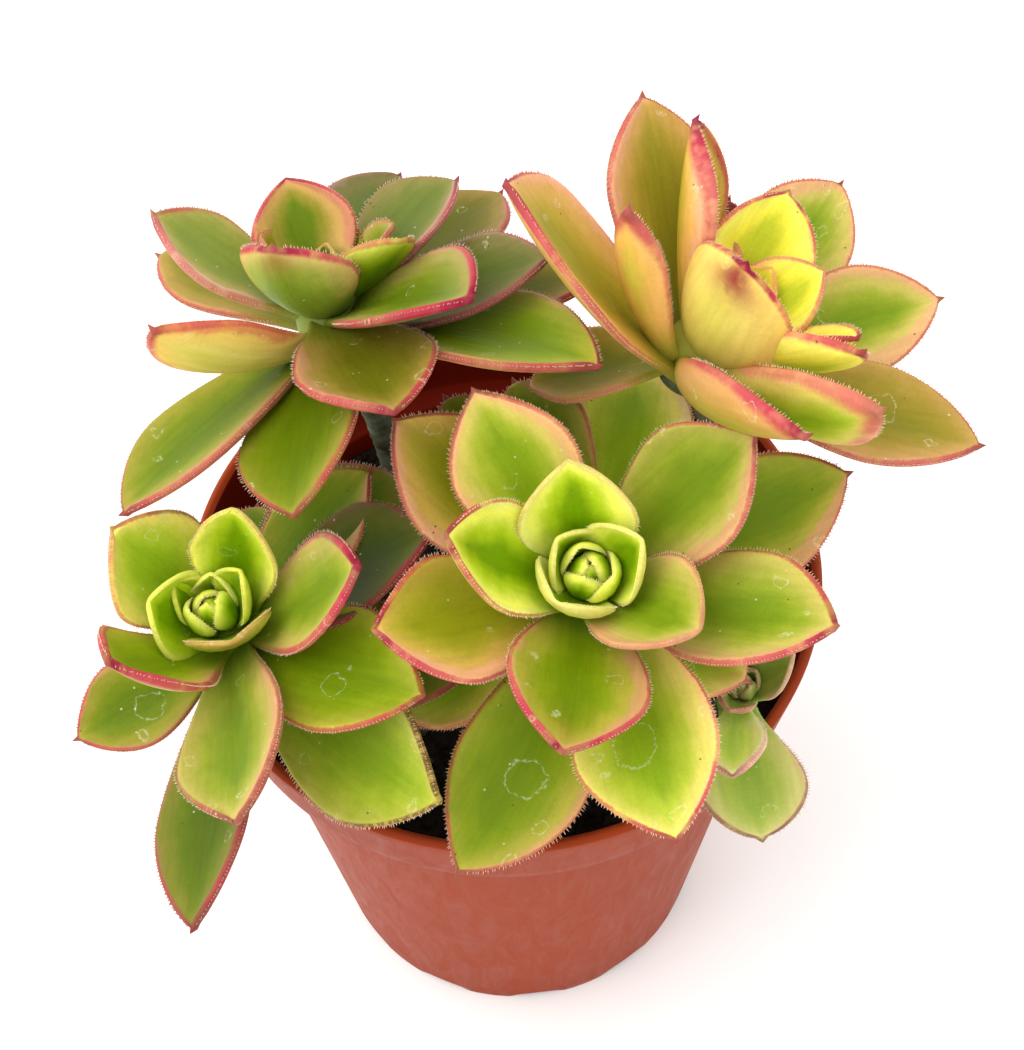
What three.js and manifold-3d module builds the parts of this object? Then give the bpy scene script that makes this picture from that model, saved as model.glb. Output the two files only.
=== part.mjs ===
import * as THREE from 'three';
import { mergeVertices } from 'three/addons/utils/BufferGeometryUtils.js';
import Module from 'manifold-3d';

// Potted aeonium: five rosettes of fleshy leaves on bare stems, in a 12 cm plastic nursery pot.
// Millimetres, +Z up. The origin is the centre of the pot's underside, and the plant leans toward -Y.

const wasm = await Module();
wasm.setup();

// Pot
const potHeight = 112;
const rimRadius = 60;
const lipWidth = 2.2;
const lipRound = 0.8;
const collarHeight = 16;
const collarFootRadius = 57.3;
const bodyTopRadius = 53;
const baseRadius = 40;
const wall = 1.3;
const potSides = 48;

// Pot underside: a flat centre and a foot ring, with a raised drainage channel between them
const centrePadRadius = 22;
const footRingWidth = 2.6;
const channelRise = 2.2;
const channelSlope = 1.6;
const floorThickness = 1.5;
const drainHoleRadius = 4;
const drainHoleCount = 6;
const drainHoleSides = 12;
const drainCutterLength = 8;
const footNotchWidth = 11;
const footNotchHeight = 2;
const footNotchCount = 12;
const footNotchTurn = 4.5;
const footCutterLength = 6;
const footCutterInset = 1.5;
const footCutterSegments = 5;

// Soil
const fit = 0.3;
const soilTop = 98.6;
const soilDip = 5.4;
const soilDipStartY = 8;
const soilDipEndY = 40;
const soilBump = 0.4;
const soilTrim = 2;
const soilRings = 4;
const soilSides = 28;

// Stems
const stemQuarters = 6;
const stemSteps = 8;
const stemDepthInSoil = 24;
const stemStraightAboveSoil = 4;
const rootInset = 0.88;

// Leaves: narrow at the foot, widest past the middle, thick at the foot and thin at the point
const shoulderPower = 1.6;
const pointPower = 1.9;
const thicknessAtRoot = 0.9;
const thicknessPerLength = 0.035;
const pointThicknessShare = 0.35;
const bellyPower = 2.5;
const ribSteps = 48;
const ribStations = [0, 13, 25, 35, 43];

// Places of a section's corners, as shares of the half width
const upperSpots = [-1, -0.4, 0.4, 1];
const lowerSpots = [0.45, -0.45];

// The closed bud in the middle of a rosette: each leaf is steeper, smaller and higher than the last
const bud = { count: 4, rise: 66, riseStep: 4, bend: 32, shrink: 0.1, widthShare: 0.95, seatStep: 0.6 };
const budHug = 0.8;
const budStations = [0, 18, 35, 44];
const goldenAngle = 137.5;

// Thick end of a stem, as [radius, height along its axis], about the point that the leaves spread from
const crownProfile = [[0, -7], [5, -7], [6, -4], [6, 2], [3.6, 8], [0, 9]];
const crownSides = 12;
const stemEndBelowCrown = 2;

// By the ring that a leaf stands in: the half angle of its trough, how far its foot sits above the crown and
// from the crown's axis, its foot's width and widest place as shares, and how blunt its point is
const ringForms = {
  outer: { cup: 24, seat: -3, attach: 3, foot: 0.36, widest: 0.62, blunt: 0.85 },
  broad: { cup: 24, seat: -3, attach: 3, foot: 0.58, widest: 0.62, blunt: 0.85 },
  middle: { cup: 30, seat: 1, attach: 3, foot: 0.36, widest: 0.62, blunt: 0.85 },
  folded: { cup: 64, seat: 1, attach: 3, foot: 0.36, widest: 0.62, blunt: 0.85 },
  low: { cup: 60, seat: -1, attach: 5.5, foot: 0.36, widest: 0.62, blunt: 0.85 },
  inner: { cup: 44, seat: 4, attach: 3, foot: 0.56, widest: 0.55, blunt: 0.65 },
  shell: { cup: 61, seat: 3, attach: 3, foot: 0.6, widest: 0.5, blunt: 0.65 },
  heart: { cup: 60, seat: 6, attach: 3, foot: 0.62, widest: 0.5, blunt: 0.75 },
};
const budForm = { cup: 66, seat: 6, attach: 3, foot: 0.75, widest: 0.45, blunt: 0.8 };

// Rosettes. A leaf is turn, rise and bend in degrees, length and width in mm, then roll and sway in
// degrees, all about the crown's own axis, which leans from the vertical toward leanTo.
const rosettes = {
  front: {
    crown: [14.4, -25.4, 142], leanTo: -95, lean: 20, scale: 1, budTurn: 335, budLength: 11,
    foot: [7, -4], knee: [11, -16, 124], stemRadius: 3,
    outer: [
      [143, 35, 4, 45.5, 23, -4, -3], [72, -7, -17, 46.5, 23.5, -2, 8], [20, 1, -3, 47, 23, 27, 5],
      [252, 2, -10, 50, 25, -22, -20], [289, 16, 0, 45, 25.5, 9, -8], [105, -8, -12, 42, 22, -19, 1],
      [204, -14, -22, 40, 24, 12, -3], [122, -2, -14, 43, 22, 0, 0], [328, -2, -4, 28, 19, 0, 0],
    ],
    middle: [
      [121, 25, 0, 35.5, 23, -20, -3], [33, 32, 12, 38.5, 24, -6, 0], [340, 22, 15, 44, 23, -13, 2],
      [262, 39, 0, 38, 25, -10, -3], [205, 30, 18, 43, 23, 0, -14],
    ],
    inner: [[98, 63, -4, 25, 21, -7, 4], [321, 44, 8, 28, 21, -6, 1], [178, 46, 22, 35, 20, 0, -7]],
    heart: [[15, 58, 22, 17, 17, 10, 0], [232, 52, 34, 16.5, 18, 0, 0], [140, 66, 20, 13, 14, 0, 0]],
  },
  back_left: {
    crown: [-28.6, 18.4, 165], leanTo: 120, lean: 12, scale: 1, budTurn: 60, budLength: 7,
    foot: [-23, 41], knee: [-24, 24, 136], stemRadius: 2.5,
    outer: [
      [77, 2, -12, 45.5, 22.5, 17, 0], [51, 1, -9, 45, 22.5, 2, 0], [353, 20, 0, 39, 21, 2, 1],
      [333, 18, -20, 51, 26, -12, -6], [263, 9, -13, 45.5, 23.5, 22, 3], [227, 1, -8, 48.5, 22, 14, 2],
      [235, 22, 36, 46.5, 16, 44, -2], [137, -1, -2, 42, 18, -8, 5], [5, 4, -6, 44, 21, 0, 0],
    ],
    middle: [
      [32, 34, -14, 29, 22, -9, -1], [319, 36, -14, 39, 24, 0, -3], [287, 13, 4, 41, 24.5, -4, 4],
      [170, 29, 24, 32, 18, 2, -5],
    ],
    inner: [
      [110, 63, 13, 20, 20, -1, 0], [341, 42, 6, 20.5, 15, -42, 0], [8, 44, 8, 16.5, 12, -10, 0],
      [68, 36, 20, 12.5, 12, 0, 0], [165, 56, 20, 14.5, 13, 10, 0],
    ],
    shell: [[249, 43, 46, 24, 24.5, 2, 1]],
  },
  right: {
    crown: [35.6, 11.3, 160], leanTo: 20, lean: 22, scale: 1, budTurn: 330, budLength: 9,
    foot: [41, 8], knee: [41.5, 3, 146], stemRadius: 3,
    outer: [
      [338, 12, 6, 48.5, 22.5, 11, 0], [352, 2, 0, 44, 20, 0, 0], [176, -28, -14, 27, 19, 0, 0],
    ],
    broad: [[185, 30, 12, 52.5, 27.5, -2, 1], [120, 44, -4, 44.5, 24, -7, 4]],
    middle: [
      [52, 25, 0, 41, 21, 11, 6], [15, 13, 8, 43, 20, 35, 5], [291, 15, 42, 48, 16, -52, 2],
      [84, 26, 0, 27, 17, 0, 0],
    ],
    folded: [[124, 47, 20, 37.5, 24, 44, -7]],
    low: [[246, 26, 10, 45.5, 15, -44, 72], [200, 46, 20, 40.5, 10, 38, -2]],
    inner: [
      [65, 58, 15, 26, 22, 22, 1], [5, 49, 20, 21, 16.5, 22, 2], [298, 32, 23, 36, 15, -27, 1],
      [310, 38, 16, 30, 14.5, -7, 1],
    ],
    shell: [[246, 41, 48, 32, 29, -22, -1]],
    heart: [[100, 60, 10, 14, 9.5, 0, 0], [30, 60, 25, 13, 12, 20, 0]],
  },
  left: {
    crown: [-48.7, -25.5, 133], leanTo: -120, lean: 14, scale: 1, budTurn: 75, budLength: 10,
    foot: [-29, -12], knee: [-42, -20, 113], stemRadius: 2.8,
    outer: [
      [217, 2, 8, 29, 17, -9, -7], [267, 8, 4, 51.5, 20.5, 27, -2], [314, 17, 12, 54, 28, 52, 6],
      [43, 15, 1, 35, 21.5, -16, 0], [51, -7, -18, 42, 23, 13, -1], [15, 28, -5, 40.5, 25.5, -21, -5],
      [85, -12, -10, 26, 18, 0, 0], [345, 4, -4, 40, 20, 0, 0],
    ],
    middle: [
      [353, 38, 24, 42, 20.5, 0, 3], [142, 58, 0, 27, 22, 5, 0], [241, 47, 36, 39.5, 20, -8, -1],
      [286, 29, 6, 46.5, 22, 20, -10], [326, 15, 12, 44, 21.5, 9, 14],
    ],
    inner: [[52, 52, 31, 26.5, 16.5, 20, 1], [190, 62, 20, 17, 17, -25, -2], [290, 58, 12, 19, 20, 0, 0]],
    heart: [[20, 62, 20, 15, 11, 15, 0], [150, 68, 15, 11, 10, 0, 0]],
  },
  offshoot: {
    crown: [40.9, -33.5, 116.5], leanTo: -75, lean: 12, scale: 0.6, budTurn: 40, budLength: 9,
    foot: [36, -26], knee: [39, -29, 104], stemRadius: 1.8,
    outer: [[272, 16, -14, 25, 19.5, 0, 4]],
    middle: [[258, 36, 0, 21, 12, 20, -1]],
    heart: [[240, 55, 10, 12, 8, 0, 0], [20, 50, 20, 13, 11, 0, 0], [130, 50, 20, 13, 10, 0, 0]],
  },
};

const potMaterial = new THREE.MeshStandardMaterial({ color: '#b5654a', roughness: 0.45, metalness: 0 });
const soilMaterial = new THREE.MeshStandardMaterial({ color: '#1c1512', roughness: 1, metalness: 0 });
const stemMaterial = new THREE.MeshStandardMaterial({ color: '#7d8a72', roughness: 0.75, metalness: 0 });
const leafColours = {
  front: '#86a832', back_left: '#6f9440', right: '#c2b552', left: '#7fa544', offshoot: '#9cb870',
};

const radians = THREE.MathUtils.degToRad;

function signedVolume(points, triangles) {
  const corners = [new THREE.Vector3(), new THREE.Vector3(), new THREE.Vector3()];
  let six = 0;
  for (let i = 0; i < triangles.length; i += 3) {
    corners.forEach((corner, k) => corner.fromArray(points, triangles[i + k] * 3));
    six += corners[0].dot(corners[1].clone().cross(corners[2]));
  }
  return six / 6;
}

function solidOf(points, triangles) {
  const whole = [];
  for (let i = 0; i < triangles.length; i += 3) {
    const [a, b, c] = [triangles[i], triangles[i + 1], triangles[i + 2]];
    if (a !== b && b !== c && c !== a) whole.push(a, b, c);
  }
  if (signedVolume(points, whole) < 0) whole.reverse();
  const mesh = new wasm.Mesh({
    numProp: 3, vertProperties: new Float32Array(points), triVerts: new Uint32Array(whole),
  });
  return new wasm.Manifold(mesh);
}

function solidOfGeometry(geometry) {
  const bare = geometry.clone();
  bare.deleteAttribute('normal');
  bare.deleteAttribute('uv');
  const merged = mergeVertices(bare);
  return solidOf(Array.from(merged.attributes.position.array), Array.from(merged.index.array));
}

function namedMesh(name, solid, material) {
  const { vertProperties, triVerts } = solid.getMesh();
  const geometry = new THREE.BufferGeometry();
  geometry.setAttribute('position', new THREE.BufferAttribute(new Float32Array(vertProperties), 3));
  geometry.setIndex(new THREE.BufferAttribute(new Uint32Array(triVerts), 1));
  geometry.computeVertexNormals();
  const mesh = new THREE.Mesh(geometry, material);
  mesh.name = name;
  return mesh;
}

// A solid of revolution about Z from [radius, height] pairs
function turned(profile) {
  const points = profile.map(([radius, height]) => new THREE.Vector2(radius, height));
  return solidOfGeometry(new THREE.LatheGeometry(points, potSides).rotateX(Math.PI / 2));
}

function onCircle(radius, degrees, height) {
  const angle = radians(degrees);
  return new THREE.Vector3(radius * Math.cos(angle), radius * Math.sin(angle), height);
}

// Inside of the pot, shrunk by a clearance, from the floor's edge up to the lip
function innerProfile(clearance) {
  const side = wall + clearance;
  const ledge = potHeight - collarHeight + side;
  return [
    [baseRadius - side, channelRise + floorThickness + clearance],
    [bodyTopRadius - side, ledge],
    [collarFootRadius - side, ledge],
    [rimRadius - lipWidth - clearance, potHeight - lipRound],
  ];
}

function floorProfile(lift) {
  return [
    [centrePadRadius + channelSlope - lift, channelRise + lift],
    [centrePadRadius - lift, lift],
    [0, lift],
  ];
}

function makePot() {
  const collarFoot = potHeight - collarHeight;
  const footRingInside = baseRadius - footRingWidth;
  const outside = [
    [footRingInside - channelSlope, channelRise],
    [footRingInside, 0],
    [baseRadius, 0],
    [bodyTopRadius, collarFoot],
    [collarFootRadius, collarFoot],
    [rimRadius, potHeight - lipRound],
    [rimRadius - lipRound, potHeight],
    [rimRadius - lipWidth + lipRound, potHeight],
  ];
  const underside = floorProfile(0).reverse();
  const inside = [...innerProfile(0).reverse(), ...floorProfile(floorThickness)];
  let pot = turned([...underside, ...outside, ...inside]);

  const notch = new THREE.Shape();
  notch.absellipse(0, 0, footNotchWidth / 2, footNotchHeight, 0, Math.PI * 2, false, 0);
  for (let i = 0; i < footNotchCount; i += 1) {
    const turn = radians(footNotchTurn + (360 / footNotchCount) * i);
    const cutter = new THREE.ExtrudeGeometry(notch, {
      depth: footCutterLength, bevelEnabled: false, curveSegments: footCutterSegments,
    });
    cutter.rotateX(Math.PI / 2).translate(0, footCutterInset - footRingInside, 0).rotateZ(turn);
    pot = pot.subtract(solidOfGeometry(cutter));
  }

  const channelMiddle = (centrePadRadius + footRingInside) / 2;
  for (let i = 0; i < drainHoleCount; i += 1) {
    const centre = onCircle(channelMiddle, (360 / drainHoleCount) * (i + 0.5), channelRise);
    const cutter = new THREE.CylinderGeometry(
      drainHoleRadius, drainHoleRadius, drainCutterLength, drainHoleSides);
    cutter.rotateX(Math.PI / 2).translate(centre.x, centre.y, centre.z);
    pot = pot.subtract(solidOfGeometry(cutter));
  }
  return pot;
}

// Height of the soil: low waves, and sunk at the back where the pot's ledge shows
function soilHeight(x, y) {
  const dip = soilDip * THREE.MathUtils.smoothstep(y, soilDipStartY, soilDipEndY);
  const waves = Math.sin(0.21 * x + 1) * Math.cos(0.17 * y) + 0.6 * Math.sin(0.43 * y - 0.31 * x);
  return soilTop - dip + soilBump * waves;
}

function makeSoil(stemHoles) {
  const points = [0, 0, soilHeight(0, 0), 0, 0, 0];
  const triangles = [];
  const outermost = rimRadius + soilTrim;
  const top = (ring, side) => 2 + ring * soilSides + (side % soilSides);
  for (let ring = 0; ring < soilRings; ring += 1) {
    for (let side = 0; side < soilSides; side += 1) {
      const spot = onCircle((outermost * (ring + 1)) / soilRings, (360 * side) / soilSides, 0);
      points.push(spot.x, spot.y, soilHeight(spot.x, spot.y));
    }
  }
  const firstBottom = points.length / 3;
  for (let side = 0; side < soilSides; side += 1) {
    points.push(...onCircle(outermost, (360 * side) / soilSides, 0).toArray());
  }
  for (let side = 0; side < soilSides; side += 1) {
    const next = (side + 1) % soilSides;
    triangles.push(0, top(0, side), top(0, next));
    for (let ring = 0; ring + 1 < soilRings; ring += 1) {
      triangles.push(top(ring, side), top(ring + 1, side), top(ring + 1, next));
      triangles.push(top(ring, side), top(ring + 1, next), top(ring, next));
    }
    const rim = soilRings - 1;
    triangles.push(top(rim, side), firstBottom + side, firstBottom + next);
    triangles.push(top(rim, side), firstBottom + next, top(rim, next));
    triangles.push(1, firstBottom + next, firstBottom + side);
  }
  const filling = turned([
    ...floorProfile(floorThickness + fit).reverse(), ...innerProfile(fit), [0, potHeight],
  ]);
  return stemHoles.reduce((soil, hole) => soil.subtract(hole), filling.intersect(solidOf(points, triangles)));
}

// The crown's own axes: across, ahead and along
function crownAxes({ leanTo, lean }) {
  const tilt = radians(lean);
  const toward = radians(leanTo);
  const along = new THREE.Vector3(
    Math.sin(tilt) * Math.cos(toward), Math.sin(tilt) * Math.sin(toward), Math.cos(tilt));
  const across = new THREE.Vector3(1, 0, 0).addScaledVector(along, -along.x).normalize();
  return { across, ahead: along.clone().cross(across), along };
}

// The line of a stem, from inside the soil up into its crown. A clearance lengthens it at both ends.
function stemCurve(rosette, clearance) {
  const { along } = crownAxes(rosette);
  const [x, y] = rosette.foot;
  const root = new THREE.Vector3(rootInset * x, rootInset * y, soilTop - stemDepthInSoil - clearance);
  const end = new THREE.Vector3(...rosette.crown)
    .addScaledVector(along, clearance - stemEndBelowCrown * rosette.scale);
  const foot = new THREE.Vector3(x, y, soilTop + stemStraightAboveSoil);
  return new THREE.CubicBezierCurve3(root, foot, new THREE.Vector3(...rosette.knee), end);
}

function tube(curve, radius) {
  const section = new THREE.Shape();
  section.absarc(0, 0, radius, 0, Math.PI * 2);
  const geometry = new THREE.ExtrudeGeometry(section, {
    extrudePath: curve, steps: stemSteps, curveSegments: stemQuarters, bevelEnabled: false,
  });
  return solidOfGeometry(geometry);
}

// The thick end of the stem, which every leaf of a rosette grows from
function makeCrown(rosette) {
  const { across, ahead, along } = crownAxes(rosette);
  const points = crownProfile.map(([radius, height]) => new THREE.Vector2(radius, height));
  const core = new THREE.LatheGeometry(points, crownSides).rotateX(Math.PI / 2);
  core.scale(rosette.scale, rosette.scale, rosette.scale);
  core.applyMatrix4(new THREE.Matrix4().makeBasis(across, ahead, along));
  return solidOfGeometry(core.translate(...rosette.crown));
}

// Half the leaf's width at a share of its length, from a narrow foot to a blunt point
function widthShare({ foot, widest, blunt }, share) {
  if (share < widest) {
    const shoulder = Math.sin((share / widest) * Math.PI / 2) ** shoulderPower;
    return foot + (1 - foot) * shoulder;
  }
  const past = (share - widest) / (1 - widest);
  return (1 - past ** pointPower) ** blunt;
}

function leafFrom([turn, rise, bend, length, width, roll, sway], form) {
  return { ...form, turn, rise, bend, length, width, roll, sway };
}

// Directions at a share of a leaf's length: outward, square to the crown's axis, and ahead along the leaf
function leafHeading(axes, leaf, share) {
  const turn = radians(leaf.turn + leaf.sway * share);
  const lift = radians(leaf.rise + leaf.bend * share);
  const outward = new THREE.Vector3()
    .addScaledVector(axes.across, Math.cos(turn))
    .addScaledVector(axes.ahead, Math.sin(turn));
  const ahead = new THREE.Vector3()
    .addScaledVector(outward, Math.cos(lift))
    .addScaledVector(axes.along, Math.sin(lift));
  return { outward, ahead };
}

// Points along the middle of a leaf's upper face, from its foot to its tip
function leafRib(rosette, axes, leaf) {
  const rib = [new THREE.Vector3(...rosette.crown)
    .addScaledVector(axes.along, leaf.seat * rosette.scale)
    .addScaledVector(leafHeading(axes, leaf, 0).outward, leaf.attach * rosette.scale)];
  for (let step = 0; step < ribSteps; step += 1) {
    const { ahead } = leafHeading(axes, leaf, (step + 0.5) / ribSteps);
    rib.push(rib[step].clone().addScaledVector(ahead, leaf.length / ribSteps));
  }
  return rib;
}

// The corners around a leaf at one place: across the trough of its upper face, then back along its belly
function leafSection(axes, leaf, middle, share) {
  const { outward, ahead } = leafHeading(axes, leaf, share);
  const flatSide = axes.along.clone().cross(outward).normalize();
  const flatUp = ahead.clone().cross(flatSide);
  const side = flatSide.clone().multiplyScalar(Math.cos(radians(leaf.roll)))
    .addScaledVector(flatUp, Math.sin(radians(leaf.roll)));
  const up = ahead.clone().cross(side);
  const cup = radians(leaf.cup);
  const troughRadius = ((leaf.width / 2) * widthShare(leaf, share)) / cup;
  const taper = pointThicknessShare + (1 - pointThicknessShare) * Math.sqrt(1 - share ** 3);
  const thickness = (thicknessAtRoot + thicknessPerLength * leaf.length) * taper;
  const corner = (spot, depth) => middle.clone()
    .addScaledVector(side, troughRadius * Math.sin(spot * cup))
    .addScaledVector(up, troughRadius * (1 - Math.cos(spot * cup)) - depth);
  const upper = upperSpots.map((spot) => corner(spot, 0));
  const lower = lowerSpots.map((spot) => corner(spot, thickness * (1 - Math.abs(spot) ** bellyPower)));
  return [...upper, ...lower];
}

function makeLeaf(rosette, leaf, stations) {
  const axes = crownAxes(rosette);
  const rib = leafRib(rosette, axes, leaf);
  const sections = stations.map((station) => leafSection(axes, leaf, rib[station], station / ribSteps));
  const points = [...sections.flat(), rib[ribSteps]].flatMap((point) => point.toArray());

  const corners = upperSpots.length + lowerSpots.length;
  const last = (stations.length - 1) * corners;
  const tip = stations.length * corners;
  const triangles = [];
  for (let k = 0; k < corners; k += 1) {
    const next = (k + 1) % corners;
    for (let row = 0; row < last; row += corners) {
      triangles.push(row + k, row + next, row + next + corners);
      triangles.push(row + k, row + next + corners, row + k + corners);
    }
    triangles.push(last + k, last + next, tip);
    if (k > 0 && k + 1 < corners) triangles.push(0, k + 1, k);
  }
  return solidOf(points, triangles);
}

// One head of leaves fused to its crown, with a socket for the stem
function makeRosette(rosette, socket) {
  const solids = [makeCrown(rosette)];
  for (const [ring, form] of Object.entries(ringForms)) {
    for (const row of rosette[ring] ?? []) {
      solids.push(makeLeaf(rosette, leafFrom(row, form), ribStations));
    }
  }
  for (let i = 0; i < bud.count; i += 1) {
    const turn = rosette.budTurn + goldenAngle * i;
    const size = rosette.budLength * rosette.scale * (1 - bud.shrink * i);
    const row = [turn, bud.rise + bud.riseStep * i, bud.bend, size, bud.widthShare * size, 0, 0];
    const leaf = leafFrom(row, budForm);
    leaf.seat += bud.seatStep * i;
    leaf.attach = Math.min(leaf.attach, (budHug * size) / 2 / radians(leaf.cup) / rosette.scale);
    solids.push(makeLeaf(rosette, leaf, budStations));
  }
  const fused = solids.reduce((whole, solid) => whole.add(solid)).subtract(socket);
  const shells = fused.decompose();
  return shells.reduce((largest, shell) => (shell.volume() > largest.volume() ? shell : largest));
}

const pottedAeonium = new THREE.Group();
const stemHoles = [];
for (const [name, rosette] of Object.entries(rosettes)) {
  const stem = tube(stemCurve(rosette, 0), rosette.stemRadius);
  const stemHole = tube(stemCurve(rosette, fit), rosette.stemRadius + fit);
  const color = leafColours[name];
  const leafMaterial = new THREE.MeshStandardMaterial({ color, roughness: 0.5, metalness: 0 });
  pottedAeonium.add(namedMesh(`stem_${name}`, stem, stemMaterial));
  pottedAeonium.add(namedMesh(`rosette_${name}`, makeRosette(rosette, stemHole), leafMaterial));
  stemHoles.push(stemHole);
}
pottedAeonium.add(namedMesh('pot', makePot(), potMaterial));
pottedAeonium.add(namedMesh('soil', makeSoil(stemHoles), soilMaterial));

export default pottedAeonium;
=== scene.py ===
"""Potted aeonium: five rosettes of fleshy leaves on bare stems, in a 12 cm nursery pot.

Shapes are worked out in millimetres and scaled to metres as each piece is finished. +Z is up, the origin is
the centre of the pot's underside, and the viewer looks down from -Y.
"""

import math
import random
from types import SimpleNamespace

import bmesh
import bpy
from mathutils import Matrix, Vector, noise


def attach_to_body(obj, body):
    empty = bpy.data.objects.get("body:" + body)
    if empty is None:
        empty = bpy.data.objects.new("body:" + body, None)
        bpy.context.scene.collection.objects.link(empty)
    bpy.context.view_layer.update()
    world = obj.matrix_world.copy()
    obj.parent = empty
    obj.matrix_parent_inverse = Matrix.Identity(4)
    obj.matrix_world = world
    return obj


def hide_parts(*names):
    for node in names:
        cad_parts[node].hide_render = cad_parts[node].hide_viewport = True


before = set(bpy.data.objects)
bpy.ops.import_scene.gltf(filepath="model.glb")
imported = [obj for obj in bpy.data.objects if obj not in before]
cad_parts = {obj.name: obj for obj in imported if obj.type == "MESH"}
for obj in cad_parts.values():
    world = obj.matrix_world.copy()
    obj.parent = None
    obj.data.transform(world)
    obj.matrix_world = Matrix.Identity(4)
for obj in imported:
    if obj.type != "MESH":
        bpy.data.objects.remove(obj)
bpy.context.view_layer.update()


# Pot
# A tapered nursery pot, injection moulded in terracotta-coloured polypropylene. Its wide collar lets pots
# stack, six holes in the floor drain it, and it stands on a notched foot ring and the flat middle.
pot_height = 112
rim_radius = 60
lip_width = 2.2
lip_round = 0.8
collar_height = 16
collar_foot_radius = 57.3
body_top_radius = 53
base_radius = 40
pot_wall = 1.3
centre_pad_radius = 22
foot_ring_width = 2.6
channel_rise = 2.2
channel_slope = 1.6
floor_thickness = 1.5
drain_hole_radius = 4
drain_hole_count = 6
drain_hole_sides = 40
drill_depth = 8
foot_notch_width = 11
foot_notch_height = 2
foot_notch_count = 12
foot_notch_turn = math.radians(4.5)
pot_steps = 240
support_gap = 3.2


def linear(hex_colour):
    """The linear colour that a shader takes, from an sRGB hex value."""
    channels = [int(hex_colour[i : i + 2], 16) / 255 for i in (1, 3, 5)]
    return tuple(c / 12.92 if c <= 0.04045 else ((c + 0.055) / 1.055) ** 2.4 for c in channels) + (1.0,)


def new_material(name):
    """An empty node material: all of its nodes, the output too, are cleared."""
    material = bpy.data.materials.new(name)
    material.use_nodes = True
    material.node_tree.nodes.clear()
    return material


def add_node(material, kind, inputs=None, **settings):
    """Adds one shader node. An input is a value, an output, or a node that gives its first live output."""
    node = material.node_tree.nodes.new("ShaderNode" + kind)
    for name, value in settings.items():
        setattr(node, name, value)
    for socket, value in (inputs or {}).items():
        if isinstance(value, bpy.types.Node):
            value = next(output for output in value.outputs if output.enabled)
        if isinstance(value, bpy.types.NodeSocket):
            material.node_tree.links.new(value, node.inputs[socket])
        else:
            node.inputs[socket].default_value = value
    return node


def new_object(name, bm):
    """Turns a bmesh in millimetres into a linked object in metres."""
    bmesh.ops.scale(bm, vec=(0.001, 0.001, 0.001), verts=bm.verts)
    mesh = bpy.data.meshes.new(name)
    bm.to_mesh(mesh)
    bm.free()
    made = bpy.data.objects.new(name, mesh)
    bpy.context.scene.collection.objects.link(made)
    return made


def finished_piece(name, bm, materials, cad_node):
    """Turns a bmesh into a smooth piece that rides on the root and stands for a CAD node."""
    piece = new_object(name, bm)
    piece.data.shade_smooth()
    for material in materials:
        piece.data.materials.append(material)
    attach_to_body(piece, "root")
    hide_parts(cad_node)
    return piece


def spun(bm, profile, steps):
    """Spins a profile of (radius, height) pairs about Z into the bmesh, and merges its seam."""
    corners = [bm.verts.new((radius, 0, height)) for radius, height in profile]
    edges = [bm.edges.new(pair) for pair in zip(corners, corners[1:])]
    bmesh.ops.spin(
        bm, geom=corners + edges, cent=(0, 0, 0), axis=(0, 0, 1), angle=math.tau, steps=steps, use_merge=True
    )
    bmesh.ops.remove_doubles(bm, verts=bm.verts, dist=0.001)
    bmesh.ops.recalc_face_normals(bm, faces=bm.faces)


def with_support(profile, gap):
    """Adds a point near both ends of each long stretch, so that smooth shading turns only at the corners."""
    supported = [profile[0]]
    for start, end in zip(profile, profile[1:]):
        start, end = Vector(start), Vector(end)
        length = (end - start).length
        if length > 4 * gap:
            supported.append(tuple(start.lerp(end, gap / length)))
            supported.append(tuple(start.lerp(end, 1 - gap / length)))
        supported.append(tuple(end))
    return supported


collar_foot = pot_height - collar_height
foot_ring_inside = base_radius - foot_ring_width
ledge = collar_foot + pot_wall
pot_profile = [
    (0, 0),
    (centre_pad_radius, 0),
    (centre_pad_radius + channel_slope, channel_rise),
    (foot_ring_inside - channel_slope, channel_rise),
    (foot_ring_inside, 0),
    (base_radius, 0),
    (body_top_radius, collar_foot),
    (collar_foot_radius, collar_foot),
    (rim_radius, pot_height - lip_round),
    (rim_radius - lip_round, pot_height),
    (rim_radius - lip_width + lip_round, pot_height),
    (rim_radius - lip_width, pot_height - lip_round),
    (collar_foot_radius - pot_wall, ledge),
    (body_top_radius - pot_wall, ledge),
    (base_radius - pot_wall, channel_rise + floor_thickness),
    (centre_pad_radius + channel_slope - floor_thickness, channel_rise + floor_thickness),
    (centre_pad_radius - floor_thickness, floor_thickness),
    (0, floor_thickness),
]
pot = bmesh.new()
spun(pot, with_support(pot_profile, support_gap), pot_steps)

# The moulded corners are rounded: the collar's foot and ledge more than the lip and the foot ring
rounded_corners = {
    (collar_foot_radius, collar_foot): 0.8,
    (body_top_radius, collar_foot): 1.0,
    (body_top_radius - pot_wall, ledge): 0.7,
    (collar_foot_radius - pot_wall, ledge): 0.7,
    (rim_radius, pot_height - lip_round): 0.35,
    (rim_radius - lip_round, pot_height): 0.35,
    (rim_radius - lip_width + lip_round, pot_height): 0.3,
    (rim_radius - lip_width, pot_height - lip_round): 0.3,
    (base_radius, 0): 0.5,
    (foot_ring_inside, 0): 0.4,
}
for (radius, height), rounding in rounded_corners.items():
    ring = [
        edge
        for edge in pot.edges
        if all(abs(v.co.z - height) < 0.01 and abs(v.co.xy.length - radius) < 0.01 for v in edge.verts)
    ]
    bmesh.ops.bevel(
        pot,
        geom=ring,
        offset=rounding,
        segments=3,
        profile=0.5,
        affect="EDGES",
        material=-1,
        clamp_overlap=True,
    )

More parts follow.
